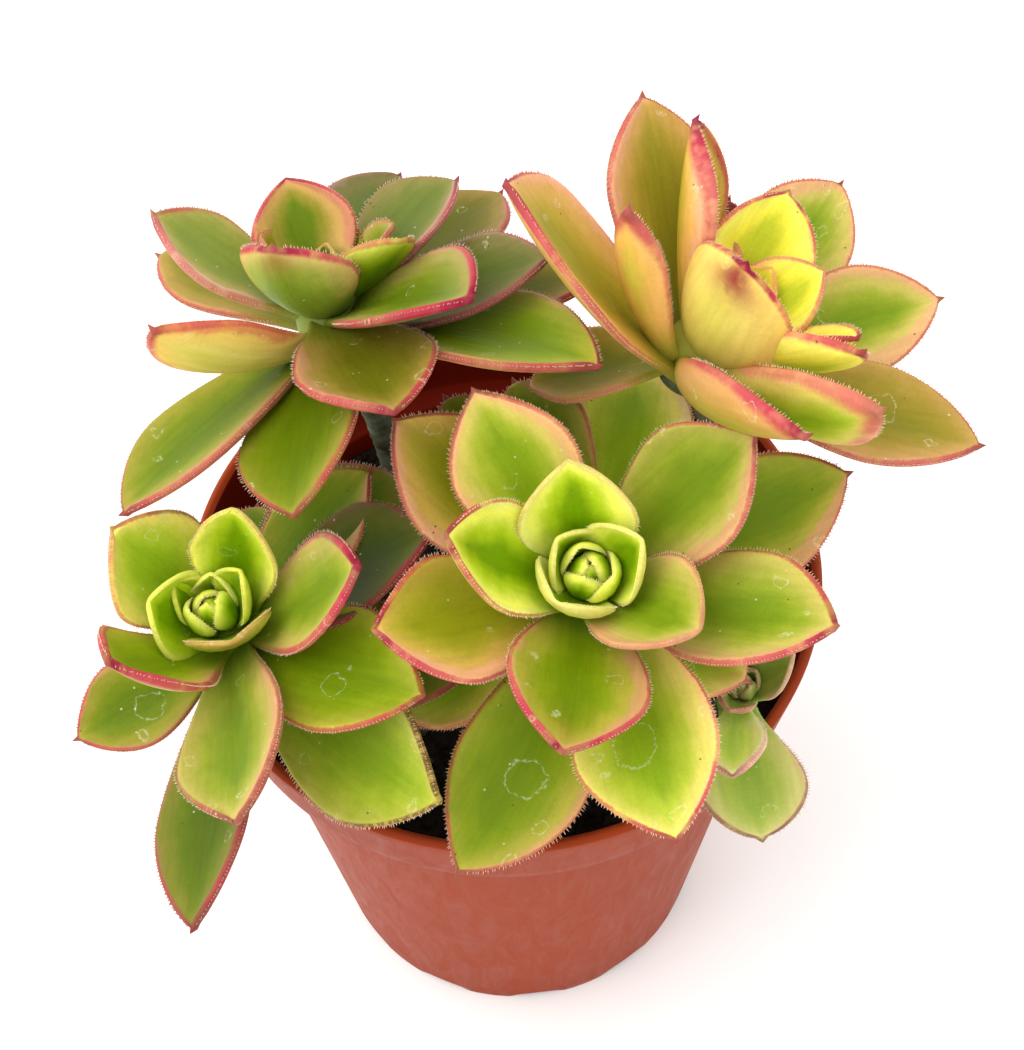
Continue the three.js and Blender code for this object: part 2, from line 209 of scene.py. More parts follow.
# The notches in the foot ring are moulded, so the ring's lower edge rises in a shallow arch over each
for vertex in pot.verts:
    radius = vertex.co.xy.length
    if vertex.co.z > 1 or radius < foot_ring_inside - 0.6:
        continue
    pitch = math.tau / foot_notch_count
    turn = math.atan2(vertex.co.y, vertex.co.x) + math.pi / 2 - foot_notch_turn
    beside = radius * math.sin((turn + pitch / 2) % pitch - pitch / 2) / (foot_notch_width / 2)
    if abs(beside) < 1:
        rise = foot_notch_height * math.sqrt(1 - beside * beside)
        draft = rise * (body_top_radius - base_radius) / collar_foot if radius > base_radius - 1 else 0
        widened = 1 + draft / radius
        vertex.co = (vertex.co.x * widened, vertex.co.y * widened, vertex.co.z + rise)

# Terracotta-coloured polypropylene, injection moulded: satin, with pale scuffs and dust from other pots
plastic = new_material("terracotta_polypropylene")
spot = add_node(plastic, "TexCoord").outputs["Object"]
cloud = add_node(plastic, "TexNoise", {"Vector": spot, "Scale": 28, "Detail": 5, "Roughness": 0.6})
scuff_run = add_node(plastic, "Mapping", {"Vector": spot, "Scale": (1, 1, 0.22)})
scuff_noise = {"Vector": scuff_run, "Scale": 260, "Detail": 8, "Roughness": 0.72, "Distortion": 0.8}
scuff = add_node(plastic, "TexNoise", scuff_noise)
scuff_range = {0: scuff, 1: 0.6, 2: 0.8, 3: 0.0, 4: 0.12}
scuff_mask = add_node(plastic, "MapRange", scuff_range, interpolation_type="SMOOTHSTEP")
dust = add_node(plastic, "TexNoise", {"Vector": spot, "Scale": 900, "Detail": 3, "Roughness": 0.7})
dust_range = {0: dust, 1: 0.66, 2: 0.76, 3: 0.0, 4: 0.12}
dust_mask = add_node(plastic, "MapRange", dust_range, interpolation_type="SMOOTHSTEP")
plastic_colour = linear("#86300f")
for share, colour in ((cloud, "#923716"), (scuff_mask, "#9c5236"), (dust_mask, "#924c34")):
    inputs = {0: share, 6: plastic_colour, 7: linear(colour)}
    plastic_colour = add_node(plastic, "Mix", inputs, data_type="RGBA")
plastic_roughness = add_node(plastic, "MapRange", {0: scuff, 1: 0.3, 2: 0.8, 3: 0.36, 4: 0.62})
plastic_bump = add_node(plastic, "Bump", {"Height": dust, "Strength": 0.12, "Distance": 0.0002})
plastic_shader = add_node(
    plastic,
    "BsdfPrincipled",
    {
        "Base Color": plastic_colour,
        "Roughness": plastic_roughness,
        "Normal": plastic_bump,
        "Specular IOR Level": 0.07,
    },
)
add_node(plastic, "OutputMaterial", {"Surface": plastic_shader})

# The pot's inside, of the same plastic, drawn darker and redder: painted shade, as little light reaches the
# inside of the pot
shade_painted_plastic = new_material("shade_painted_polypropylene")
spot = add_node(shade_painted_plastic, "TexCoord").outputs["Object"]
inside_shade_noise = {"Vector": spot, "Scale": 60, "Detail": 6, "Roughness": 0.7}
inside_shade_cloud = add_node(shade_painted_plastic, "TexNoise", inside_shade_noise)
inside_shade_colours = {0: inside_shade_cloud, 6: linear("#550c03"), 7: linear("#6c1806")}
inside_shade_body = add_node(shade_painted_plastic, "Mix", inside_shade_colours, data_type="RGBA")
inside_shade_surface = {"Base Color": inside_shade_body, "Roughness": 0.5, "Specular IOR Level": 0.05}
inside_shade_shader = add_node(shade_painted_plastic, "BsdfPrincipled", inside_shade_surface)
add_node(shade_painted_plastic, "OutputMaterial", {"Surface": inside_shade_shader})
# Faces that look into the pot, and the upward floor and ledge inside it, take this painted shade
pot.normal_update()
for face in pot.faces:
    centre = face.calc_center_median()
    faces_in = face.normal.xy.dot(centre.xy) < -1 or face.normal.z > 0.9
    if faces_in and floor_thickness - 0.1 < centre.z < pot_height - lip_round:
        face.material_index = 1

pot_piece = finished_piece("nursery_pot", pot, [plastic, shade_painted_plastic], "pot")

# The six drain holes are cut through the floor, in the channel between the middle and the foot ring
drill = bmesh.new()
channel_middle = (centre_pad_radius + foot_ring_inside) / 2
for i in range(drain_hole_count):
    turn = math.tau * (i + 0.5) / drain_hole_count
    centre = Vector((channel_middle * math.cos(turn), channel_middle * math.sin(turn), channel_rise))
    bmesh.ops.create_cone(
        drill,
        cap_ends=True,
        segments=drain_hole_sides,
        radius1=drain_hole_radius,
        radius2=drain_hole_radius,
        depth=drill_depth,
        matrix=Matrix.Translation(centre),
    )
drill_object = new_object("drain_hole_drill", drill)
cut = pot_piece.modifiers.new("drain_holes", "BOOLEAN")
cut.operation = "DIFFERENCE"
cut.solver = "EXACT"
cut.object = drill_object
bpy.context.view_layer.update()
drilled = bpy.data.meshes.new_from_object(pot_piece.evaluated_get(bpy.context.evaluated_depsgraph_get()))
pot_piece.modifiers.clear()
pot_piece.data = drilled
bpy.data.objects.remove(drill_object)


# Soil
# A dark, damp potting mix of peat and fine bark, filled to just above the collar's ledge and sunk at the
# back. Loose crumbs of it lie on top.
soil_fit = 0.3
soil_top = 98.6
soil_dip = 5.4
soil_dip_start_y = 8
soil_dip_end_y = 40
soil_wave = 0.4
soil_clod = 0.7
soil_ring_gap = 0.98
soil_ring_count = 57
soil_steps = 200
soil_side_drop = 2.5
soil_side_cover = 1.5
soil_full_radius = 55.9
crumb_count = 900
crumb_wall_gap = 1.5
crumb_reach = 55
bark_share = 0.11


def smooth_step(value, low, high):
    """0 below low, 1 above high, and a smooth rise between."""
    share = min(1, max(0, (value - low) / (high - low)))
    return share * share * (3 - 2 * share)


def soil_height(x, y):
    """Height of the soil's top: low waves, and sunk at the back where the pot's ledge shows."""
    dip = soil_dip * smooth_step(y, soil_dip_start_y, soil_dip_end_y)
    waves = math.sin(0.21 * x + 1) * math.cos(0.17 * y) + 0.6 * math.sin(0.43 * y - 0.31 * x)
    return soil_top - dip + soil_wave * waves


def pot_inside_radius(height):
    """Inner radius of the pot's wall at a height, less the soil's clearance."""
    if height > ledge:
        share = (height - ledge) / (pot_height - lip_round - ledge)
        upper = rim_radius - lip_width
        lower = collar_foot_radius - pot_wall
    else:
        share = (height - channel_rise - floor_thickness) / (ledge - channel_rise - floor_thickness)
        upper = body_top_radius - pot_wall
        lower = base_radius - pot_wall
    return lower + (upper - lower) * share - soil_fit


soil = bmesh.new()
soil_floor = floor_thickness + soil_fit
soil_side_top = ledge - soil_side_drop
top_rings = [(soil_ring_gap * i, soil_top) for i in range(soil_ring_count + 1)]
spun(
    soil,
    top_rings
    + [
        (pot_inside_radius(ledge - soil_fit), soil_side_top),
        (base_radius - pot_wall - soil_fit, channel_rise + soil_floor),
        (centre_pad_radius + channel_slope - soil_floor, channel_rise + soil_floor),
        (centre_pad_radius - soil_floor, soil_floor),
        (0, soil_floor),
    ],
    soil_steps,
)
for vertex in soil.verts:
    if abs(vertex.co.z - soil_side_top) < 0.1:
        vertex.co.z = min(soil_side_top, soil_height(vertex.co.x, vertex.co.y) - soil_side_cover)
    if vertex.co.z < soil_top - 1:
        continue
    x, y = vertex.co.xy
    radius = vertex.co.xy.length
    height = soil_height(x, y)
    room = pot_inside_radius(height)
    clod = noise.fractal(Vector((x, y, 3)) * 0.16, 1.0, 2.0, 5) + 0.5 * noise.noise(Vector((x, y, 9)) * 0.7)
    squeeze = min(1, room / soil_full_radius)
    vertex.co = (x * squeeze, y * squeeze, height + soil_clod * clod)

# Loose crumbs: each is a rough lump of twenty faces, partly sunk, and one in nine is a paler bit of bark.
# Without a seed of its own, noise_vector would shape them differently in each run.
crumbs = random.Random("soil crumbs")
noise.seed_set(5)
crumbs_left = crumb_count
while crumbs_left > 0:
    x, y = crumbs.uniform(-crumb_reach, crumb_reach), crumbs.uniform(-crumb_reach, crumb_reach)
    height = soil_height(x, y)
    if math.hypot(x, y) > pot_inside_radius(height) - crumb_wall_gap:
        continue
    crumbs_left -= 1
    size = crumbs.uniform(0.45, 1.0) * (2.1 if crumbs.random() < 0.12 else 1)
    pale = crumbs.random() < bark_share
    stretch = Matrix.Diagonal((size * crumbs.uniform(0.8, 1.7), size, size * crumbs.uniform(0.5, 0.9), 1))
    turn = Matrix.Rotation(crumbs.uniform(0, math.tau), 4, "Z")
    turn @= Matrix.Rotation(crumbs.uniform(-0.5, 0.5), 4, "X")
    place = Matrix.Translation((x, y, height + 0.25 * size)) @ turn @ stretch
    lump = bmesh.ops.create_icosphere(soil, subdivisions=1, radius=1, matrix=place)
    for vertex in lump["verts"]:
        vertex.co += noise.noise_vector(vertex.co * 1.3 / size) * 0.28 * size
        for face in vertex.link_faces:
            face.material_index = 1 if pale else 0

# Damp peat, sieved: nearly black and matt, with browner grains
peat = new_material("damp_peat")
spot = add_node(peat, "TexCoord").outputs["Object"]
grain = add_node(peat, "TexNoise", {"Vector": spot, "Scale": 850, "Detail": 6, "Roughness": 0.75})
patch = add_node(peat, "TexNoise", {"Vector": spot, "Scale": 120, "Detail": 4, "Roughness": 0.6})
peat_body = add_node(peat, "ValToRGB", {0: grain})
for stop, position, colour in zip(peat_body.color_ramp.elements, (0.32, 0.78), ("#060403", "#2c2019")):
    stop.position = position
    stop.color = linear(colour)
peat_patch = add_node(peat, "MapRange", {0: patch, 1: 0.35, 2: 0.75, 3: 0.0, 4: 0.55})
peat_colour = add_node(peat, "Mix", {0: peat_patch, 6: peat_body, 7: linear("#0d0907")}, data_type="RGBA")
peat_bump = add_node(peat, "Bump", {"Height": grain, "Strength": 0.8, "Distance": 0.0006})
peat_shader = add_node(
    peat,
    "BsdfPrincipled",
    {"Base Color": peat_colour, "Roughness": 0.95, "Specular IOR Level": 0.15, "Normal": peat_bump},
)
add_node(peat, "OutputMaterial", {"Surface": peat_shader})

# Composted bark, chipped: a dry grey-brown that stands out of the peat
bark_chip = new_material("composted_bark")
spot = add_node(bark_chip, "TexCoord").outputs["Object"]
grain = add_node(bark_chip, "TexNoise", {"Vector": spot, "Scale": 700, "Detail": 4, "Roughness": 0.7})
chip_colours = {0: grain, 6: linear("#20170f"), 7: linear("#4d3d2e")}
chip_body = add_node(bark_chip, "Mix", chip_colours, data_type="RGBA")
chip_shader = add_node(bark_chip, "BsdfPrincipled", {"Base Color": chip_body, "Roughness": 0.85})
add_node(bark_chip, "OutputMaterial", {"Surface": chip_shader})

finished_piece("potting_mix", soil, [peat, bark_chip], "soil")


# Stems
# Bare, half-woody succulent stems. Each carries the scars of the leaves that it has dropped, as low rings
# with a pale bloom between them, and ends in the crown of its rosette.
stem_depth_in_soil = 24
stem_straight_above_soil = 4
root_inset = 0.88
stem_end_below_crown = 2
stem_steps = 150
stem_sides = 28
scar_gap = 3.4
scar_half_height = 0.45
scar_slant = 0.7


def crown_axes(rosette):
    """The crown's own axes: across, ahead and along."""
    lean = math.radians(rosette["lean"])
    toward = math.radians(rosette["lean_to"])
    along = Vector((math.sin(lean) * math.cos(toward), math.sin(lean) * math.sin(toward), math.cos(lean)))
    across = (Vector((1, 0, 0)) - along * along.x).normalized()
    return across, along.cross(across), along


def stem_line(rosette):
    """The four control points of a stem's curve, from inside the soil up into its crown."""
    x, y = rosette["foot"]
    root = Vector((root_inset * x, root_inset * y, soil_top - stem_depth_in_soil))
    foot = Vector((x, y, soil_top + stem_straight_above_soil))
    along = crown_axes(rosette)[2]
    end = Vector(rosette["crown"]) - along * stem_end_below_crown * rosette["scale"]
    return root, foot, Vector(rosette["knee"]), end


def on_curve(points, share):
    """The point and the direction at a share of a cubic curve."""
    a, b, c, d = points
    rest = 1 - share
    point = a * rest**3 + b * 3 * rest * rest * share + c * 3 * rest * share * share + d * share**3
    direction = (b - a) * rest * rest + (c - b) * 2 * rest * share + (d - c) * share * share
    return point, direction.normalized()


def make_stem(bm, rosette, name):
    """One stem: a closed tube of many short rings, each as thick as the scars make it there."""
    points = stem_line(rosette)
    length = sum(
        (on_curve(points, (i + 1) / 60)[0] - on_curve(points, i / 60)[0]).length for i in range(60)
    )
    scars = random.Random("scars of " + name)
    scar_places = []
    reach = scars.uniform(0, scar_gap)
    while reach < length:
        scar_places.append((reach, scars.uniform(0.12, 0.3), scars.uniform(0, math.tau)))
        reach += scar_gap * scars.uniform(0.6, 1.4) * (0.6 + 0.4 * rosette["scale"])
    tube = bmesh.ops.create_grid(bm, x_segments=stem_sides, y_segments=stem_steps, size=1)
    for vertex in tube["verts"]:
        turn = math.pi * (vertex.co.x + 1)
        share = (vertex.co.y + 1) / 2
        point, direction = on_curve(points, share)
        side = direction.cross(Vector((0, 1, 0))).normalized()
        back = direction.cross(side)
        radius = rosette["stem_radius"]
        for reach, height, where in scar_places:
            away = (share * length - reach - scar_slant * math.sin(turn - where)) / scar_half_height
            if abs(away) < 3:
                radius += height * math.exp(-away * away) * (0.65 + 0.35 * math.cos(turn - where))
        lump = Vector((3 * math.cos(turn), 3 * math.sin(turn), 0.35 * share * length))
        radius *= 1 + 0.05 * noise.noise(lump)
        if share in (0, 1):
            radius = 0
        vertex.co = point + (side * math.cos(turn) + back * math.sin(turn)) * radius
    bmesh.ops.remove_doubles(bm, verts=tube["verts"], dist=0.001)


# Succulent bark, grown: grey-green under a pale wax bloom, browner and rougher at the scars
stem_bark = new_material("succulent_bark")
spot = add_node(stem_bark, "TexCoord").outputs["Object"]
bloom = add_node(stem_bark, "TexNoise", {"Vector": spot, "Scale": 170, "Detail": 6, "Roughness": 0.65})
ring_run = add_node(stem_bark, "Mapping", {"Vector": spot, "Scale": (0.25, 0.25, 1)})
rings = add_node(stem_bark, "TexNoise", {"Vector": ring_run, "Scale": 420, "Detail": 5, "Roughness": 0.7})
bark_body = add_node(stem_bark, "ValToRGB", {0: rings})
for stop, position, colour in zip(bark_body.color_ramp.elements, (0.3, 0.62), ("#3a3828", "#5c6248")):
    stop.position = position
    stop.color = linear(colour)
bark_bloom = add_node(stem_bark, "MapRange", {0: bloom, 1: 0.42, 2: 0.7, 3: 0.0, 4: 0.75})
bark_colours = {0: bark_bloom, 6: bark_body, 7: linear("#848c78")}
bark_colour = add_node(stem_bark, "Mix", bark_colours, data_type="RGBA")
bark_bump = add_node(stem_bark, "Bump", {"Height": rings, "Strength": 0.5, "Distance": 0.0004})
bark_shader = add_node(
    stem_bark,
    "BsdfPrincipled",
    {"Base Color": bark_colour, "Roughness": 0.7, "Specular IOR Level": 0.15, "Normal": bark_bump},
)
add_node(stem_bark, "OutputMaterial", {"Surface": bark_shader})


# Rosettes
# Five heads of spoon-shaped, fleshy leaves, which grow from the thick end of a stem in a spiral. Each leaf
# is green in the middle and runs through yellow and peach to a red margin, with a fringe of short hairs.
# A tone is five colours: the leaf's foot, its middle, the flank, near the edge, and beside the margin.
tones = {
    "lime": ("#86a41c", "#6c9002", "#a8c01c", "#e8ec60", "#e2de78"),
    "yellow": ("#b8bc40", "#a8b22a", "#d4cc40", "#ead85c", "#e6a468"),
    "cream": ("#c0c44c", "#d8cc5c", "#e6d46c", "#ecca66", "#e09458"),
    "rosy": ("#84902e", "#6c861c", "#a4983a", "#dcb06a", "#dc9474"),
    "rind": ("#829a3c", "#6e8a22", "#8a9e32", "#d0b06a", "#cf8a74"),
    "fresh": ("#829a2c", "#6f8812", "#8f9c28", "#bcae56", "#d0a26e"),
    "green": ("#7a9024", "#647c04", "#788a0e", "#a09a34", "#c0925e"),
    # deep is a darker green, partly painted shade for leaves that lie under others
    "deep": ("#6c8022", "#526602", "#5c7004", "#7a7c24", "#9a764a"),
    "blush": ("#929630", "#828414", "#989026", "#bc9a48", "#d09a70"),
    "gold": ("#98963a", "#8c8420", "#a08c2c", "#c09850", "#d29c74"),
    "apricot": ("#a8a23a", "#a8983a", "#b89246", "#c89458", "#d0906c"),
    "olive": ("#7c8028", "#60620c", "#726a18", "#927a34", "#b08058"),
    "cool": ("#828f44", "#6a7a2c", "#748030", "#948a4a", "#b8987c"),
    "silver": ("#8fa250", "#84983c", "#98a44a", "#b4b06c", "#c2a07e"),
    "wine": ("#5a3018", "#4c1612", "#5c1e1a", "#7a2c28", "#903c34"),
}
rims = {"crimson": "#ac1c42", "pink": "#c8486a", "brown": "#6c3a2a"}

# The leaves of each head, from the outer ring inward: ring, turn, rise and bend in degrees, length and
# width in mm, roll and sway in degrees, the tone, and the marks that only this leaf has. Turn and rise are
# taken about the crown's own axis. Of the marks, the one for the lit side moves the outer, paler colours
# toward one side of the leaf: painted light, that side drawn as if the lamp fell on it. Spread widens the
# outer colours, and pale scales all of the leaf's colours: partly its own lighter or darker tone, partly
# painted light and shade, lifting leaves that lie in the shade of others. Red, dry and stain are shares,
# rim_mm is the width of the red margin, and chalk is a ring: its place along and across as shares, and
# its radius in mm.
front_leaves = [
    ("outer", 141.5, 25, 4, 42.5, 23.5, 1, -4, "blush", dict(sun=0.5, stain=0.3, pale=1.15)),
    ("outer", 72, -7, -17, 46.5, 23.5, -2, 8, "fresh", dict(sun=-0.4, pale=1.7)),
    ("outer", 20, 1, -3, 47, 23, 27, 5, "green", dict(sun=-1)),
    ("outer", 252, 2, -10, 50, 25, -22, -20, "green", dict(sun=0.6, spread=0.85, chalk=(0.62, 0.1, 3.6))),
    ("outer", 289, 16, 0, 45, 25.5, 9, -8, "fresh",
     dict(sun=0.3, spread=0.9, red=0.9, chalk=(0.6, -0.15, 4), pale=1.4)),
    ("outer", 105, -8, -12, 42, 22, -19, 1, "deep", dict(pale=1.8)),
    ("outer", 204, -14, -22, 40, 24, 12, -3, "green", dict(pale=1.7)),
    ("outer", 122, -2, -14, 43, 22, 0, 0, "deep", {}),
    ("outer", 328, -2, -4, 28, 19, 0, 0, "fresh", dict(rim="pink", stain=0.7, pale=1.2)),
    ("middle", 122.5, 35, 0, 37.5, 22.5, -16, -3, "fresh", dict(sun=-0.2, spread=1.1, pale=1.35)),
    ("middle", 33, 32, 12, 38.5, 24, -6, 0, "fresh", dict(sun=-0.8, pale=0.86)),
    ("middle", 340, 22, 15, 44, 23, -13, 2, "fresh", dict(sun=-0.4, rim_mm=0.6, red=0.95)),
    ("middle", 262, 39, 0, 38, 25, -10, -3, "green",
     dict(sun=0.3, spread=1.1, stain=0.4, rim_mm=0.7, red=1)),
    ("middle", 205, 30, 18, 43, 23, 0, -14, "blush", dict(sun=0.7, rim_mm=0.6, red=0.95, pale=1.15)),
    ("inner", 98, 63, -4, 25, 21, -7, 4, "lime", dict(spread=1.1, pale=1.12)),
    ("inner", 321, 44, 8, 28, 21, -6, 1, "fresh", dict(sun=-0.4, spread=1.1, pale=1.0)),
    ("inner", 178, 46, 22, 35, 20, 0, -7, "lime", dict(red=0.95, spread=1.05, stain=0.3, pale=1.05)),
    ("heart", 15, 58, 22, 17, 17, 10, 0, "lime", {}),
    ("heart", 232, 52, 34, 16.5, 18, 0, 0, "lime", dict(spread=1.3, stain=0.25)),
    ("heart", 140, 66, 20, 13, 14, 0, 0, "lime", {}),
]
back_left_leaves = [
    ("outer", 77, 2, -12, 45.5, 22.5, 17, 0, "cool", dict(pale=0.55)),
    ("outer", 51, 1, -9, 45, 22.5, 2, 0, "olive", dict(pale=0.8)),
    ("outer", 353, 20, 0, 39, 21, 2, 1, "cool", dict(pale=0.6)),
    ("outer", 333, 18, -20, 51, 26, -12, -6, "deep", dict(red=0.9, dry=0.3, pale=1.7)),
    ("outer", 263, 9, -13, 45.5, 23.5, 22, 3, "green", dict(sun=0.3, spread=0.8, pale=0.72)),
    ("outer", 227, 1, -8, 48.5, 22, 14, 2, "green", dict(sun=0.4, pale=0.8)),
    ("outer", 235, 22, 36, 46.5, 16, 44, -2, "cream", dict(spread=1.1, pale=0.92)),
    ("outer", 137, -1, -2, 42, 18, -8, 5, "olive", dict(pale=1.15)),
    ("outer", 5, 4, -6, 44, 21, 0, 0, "olive", {}),
    ("middle", 32, 34, -14, 29, 22, -9, -1, "cool", dict(sun=-0.5, pale=0.72)),
    ("middle", 319, 36, -14, 39, 24, 0, -3, "fresh", dict(rim_mm=1.2, red=1, pale=0.6)),
    ("middle", 287, 13, 4, 41, 24.5, -4, 4, "olive", dict(sun=-0.5, red=0.9)),
    ("middle", 170, 29, 24, 32, 18, 2, -5, "cool", dict(rim_mm=1.0, sun=0.6, pale=1.25)),
    ("inner", 110, 63, 13, 20, 20, -1, 0, "rosy", dict(red=0.9, sun=-0.3, spread=1.1)),
    ("shell", 249, 43, 46, 24, 24.5, 2, 1, "rind", dict(red=1, rim_mm=0.7, stain=0.5, spread=0.8)),
    ("inner", 341, 42, 6, 20.5, 15, -42, 0, "lime", dict(red=0.8, spread=0.8, pale=0.75)),
    ("inner", 8, 44, 8, 16.5, 12, -10, 0, "fresh", dict(red=0.6, pale=0.75)),
    ("inner", 68, 36, 20, 12.5, 12, 0, 0, "green", dict(spread=0.7, pale=0.7)),
    ("inner", 165, 56, 20, 14.5, 13, 10, 0, "blush", dict(red=0.5)),
]
right_leaves = [
    ("outer", 338, 12, 6, 48.5, 22.5, 11, 0, "gold",
     dict(sun=-0.3, spread=0.9, chalk=(0.62, 0.2, 3.2), pale=0.88)),
    ("broad", 185, 30, 12, 52.5, 27.5, -2, 1, "gold", dict(sun=-0.3, red=0.9, pale=1.2)),
    ("broad", 120, 44, -4, 44.5, 24, -7, 4, "gold", dict(sun=0.4)),
    ("outer", 352, 2, 0, 44, 20, 0, 0, "olive", {}),
    ("outer", 176, -28, -14, 27, 19, 0, 0, "olive", dict(red=0.3, pale=1.7)),
    ("middle", 52, 25, 0, 41, 21, 11, 6, "fresh", dict(sun=0.6, spread=1.2)),
    ("middle", 15, 13, 8, 43, 20, 35, 5, "fresh", dict(sun=-0.4, spread=1.25, pale=1.04)),
    ("middle", 291, 15, 42, 48, 16, -52, 2, "fresh", dict(rim_mm=1.4, spread=1.1, pale=1.3)),
    ("folded", 124, 47, 20, 37.5, 24, 44, -7, "gold", dict(rim_mm=1.8, red=1, sun=0.9, pale=1.4)),
    ("middle", 84, 26, 0, 27, 17, 0, 0, "wine", {}),
    ("low", 246, 26, 10, 45.5, 15, -44, 72, "apricot", dict(rim_mm=0.9, red=1)),
    ("low", 200, 46, 20, 40.5, 10, 38, -2, "apricot", dict(rim_mm=0.8, pale=1.6)),
    ("inner", 65, 58, 15, 26, 22, 22, 1, "yellow", dict(red=0.9, pale=1.32)),
    ("shell", 246, 41, 48, 32, 29, -22, -1, "cream", dict(red=1, stain=0.95, spread=0.85)),
    ("inner", 5, 49, 20, 21, 16.5, 22, 2, "yellow", dict(red=0.6, pale=1.32)),
    ("inner", 298, 32, 23, 36, 15, -27, 1, "yellow", dict(red=0.9, pale=1.15)),
    ("inner", 310, 38, 16, 30, 14.5, -7, 1, "yellow", dict(red=0.9)),
    ("heart", 100, 60, 10, 14, 9.5, 0, 0, "apricot", dict(stain=0.9)),
    ("heart", 30, 60, 25, 13, 12, 20, 0, "yellow", {}),
]
left_leaves = [
    ("outer", 217, 2, 8, 29, 17, -9, -7, "green", dict(chalk=(0.55, 0.2, 2.6), pale=0.8)),
    ("outer", 267, 8, 4, 51.5, 20.5, 27, -2, "deep", dict(dry=0.4, red=0.9, rim_mm=0.7, pale=0.82)),
    ("outer", 315, 10, 11, 52, 27, 33, 3, "fresh", dict(dry=0.9, spread=0.7, red=0.3, pale=1.1)),
    ("outer", 43, 15, 1, 35, 21.5, -16, 0, "green", dict(sun=-0.8)),
    ("outer", 51, -7, -18, 42, 23, 13, -1, "deep", {}),
    ("outer", 15, 28, -5, 40.5, 25.5, -21, -5, "deep", dict(pale=0.6)),
    ("outer", 85, -12, -10, 26, 18, 0, 0, "deep", {}),
    ("outer", 345, 4, -4, 40, 20, 0, 0, "deep", {}),
    ("middle", 353, 38, 24, 42, 20.5, 0, 3, "fresh", dict(rim_mm=1.2, red=1)),
    ("middle", 142, 58, 0, 27, 22, 5, 0, "fresh", dict(spread=0.9, pale=1.65)),
    ("middle", 241, 47, 36, 39.5, 20, -8, -1, "green", dict(rim_mm=1.4, red=1, sun=0.5, pale=1.3)),
    ("middle", 286, 29, 6, 46.5, 22, 20, -10, "fresh", dict(dry=0.5, sun=0.4, pale=0.86)),
    ("middle", 325, 27, -5, 44, 23.5, 2, 12, "green",
     dict(spread=0.8, red=0.9, chalk=(0.6, -0.2, 2), pale=1.1)),
    ("inner", 52, 52, 31, 26.5, 16.5, 20, 1, "lime", dict(spread=0.9, pale=1.1)),
    ("inner", 190, 62, 20, 17, 17, -25, -2, "lime", dict(spread=0.7, red=0.1, pale=1.3)),
    ("inner", 303, 56, 14, 19, 16.5, -14, 0, "fresh", dict(spread=0.7, stain=0.5, pale=1.3)),
    ("heart", 20, 62, 20, 15, 11, 15, 0, "lime", dict(spread=0.7)),
    ("heart", 150, 68, 15, 11, 10, 0, 0, "lime", dict(spread=0.7)),
]
offshoot_leaves = [
    ("outer", 272, 16, -14, 25, 19.5, 0, 4, "silver",
     dict(rim="brown", dry=0.3, blunt=0.6, widest=0.66, pale=1.2)),
    ("middle", 258, 36, 0, 21, 12, 20, -1, "silver", dict(rim="pink", pale=2.4)),
    ("heart", 240, 55, 10, 12, 8, 0, 0, "silver", dict(stain=0.9, red=0.6)),
    ("heart", 20, 50, 20, 13, 11, 0, 0, "silver", {}),
    ("heart", 130, 50, 20, 13, 10, 0, 0, "silver", {}),
]

# The heads. Each crown leans from the vertical toward lean_to, and its stem runs from the foot by the knee.
rosettes = {
    "front": dict(
        crown=(14.4, -25.4, 142), lean_to=-95, lean=20, scale=1, bud_turn=335, bud_length=11,
        foot=(7, -4), knee=(11, -16, 124), stem_radius=3, bud_tone="lime",
        leaves=front_leaves,
    ),
    "back_left": dict(
        crown=(-28.6, 18.4, 165), lean_to=120, lean=12, scale=1, bud_turn=60, bud_length=7,
        foot=(-23, 41), knee=(-24, 24, 136), stem_radius=2.5, bud_tone="fresh",
        leaves=back_left_leaves,
    ),
    "right": dict(
        crown=(35.6, 11.3, 160), lean_to=20, lean=22, scale=1, bud_turn=330, bud_length=9,
        foot=(41, 8), knee=(41.5, 3, 146), stem_radius=3, bud_tone="yellow",
        leaves=right_leaves,
    ),
    "left": dict(
        crown=(-48.7, -25.5, 133), lean_to=-120, lean=14, scale=1, bud_turn=75, bud_length=10,
        foot=(-29, -12), knee=(-42, -20, 113), stem_radius=2.8, bud_tone="lime",
        leaves=left_leaves,
    ),
    "offshoot": dict(
        crown=(40.9, -33.5, 116.5), lean_to=-75, lean=12, scale=0.6, bud_turn=40, bud_length=9,
        foot=(36, -26), knee=(39, -29, 104), stem_radius=1.8, bud_tone="silver",
        leaves=offshoot_leaves,
    ),
}

# By the ring that a leaf stands in: its trough's half angle in degrees (cup), how far its foot sits above
# the crown (seat) and from the crown's axis (attach) in mm, its foot's width and widest place as shares,
# how blunt its point is, the radius of its margin in mm, and how red its margin is.
form_names = ("cup", "seat", "attach", "foot", "widest", "blunt", "margin", "red")
ring_forms = {
    "outer": (24, -3, 3, 0.36, 0.62, 0.85, 0.7, 0.75),
    "broad": (24, -3, 3, 0.58, 0.62, 0.85, 0.7, 0.75),
    "middle": (30, 1, 3, 0.36, 0.62, 0.85, 0.7, 0.75),
    "folded": (64, 1, 3, 0.36, 0.62, 0.85, 0.7, 0.85),
    "low": (60, -1, 5.5, 0.36, 0.62, 0.85, 0.7, 0.85),
    "inner": (44, 4, 3, 0.56, 0.55, 0.65, 0.5, 0.4),
    "shell": (61, 3, 3, 0.6, 0.5, 0.65, 0.6, 0.9),
    "heart": (60, 6, 3, 0.62, 0.5, 0.75, 0.4, 0.12),
    "bud": (66, 6, 3, 0.75, 0.45, 0.8, 0.3, 0.0),
}
shoulder_power = 1.6
point_power = 1.9
thickness_at_root = 0.9
thickness_per_length = 0.035
belly_power = 2.5
margin_sink = 0.2
rim_width = 0.44
small_leaf = 22
small_leaf_grid = (24, 30)
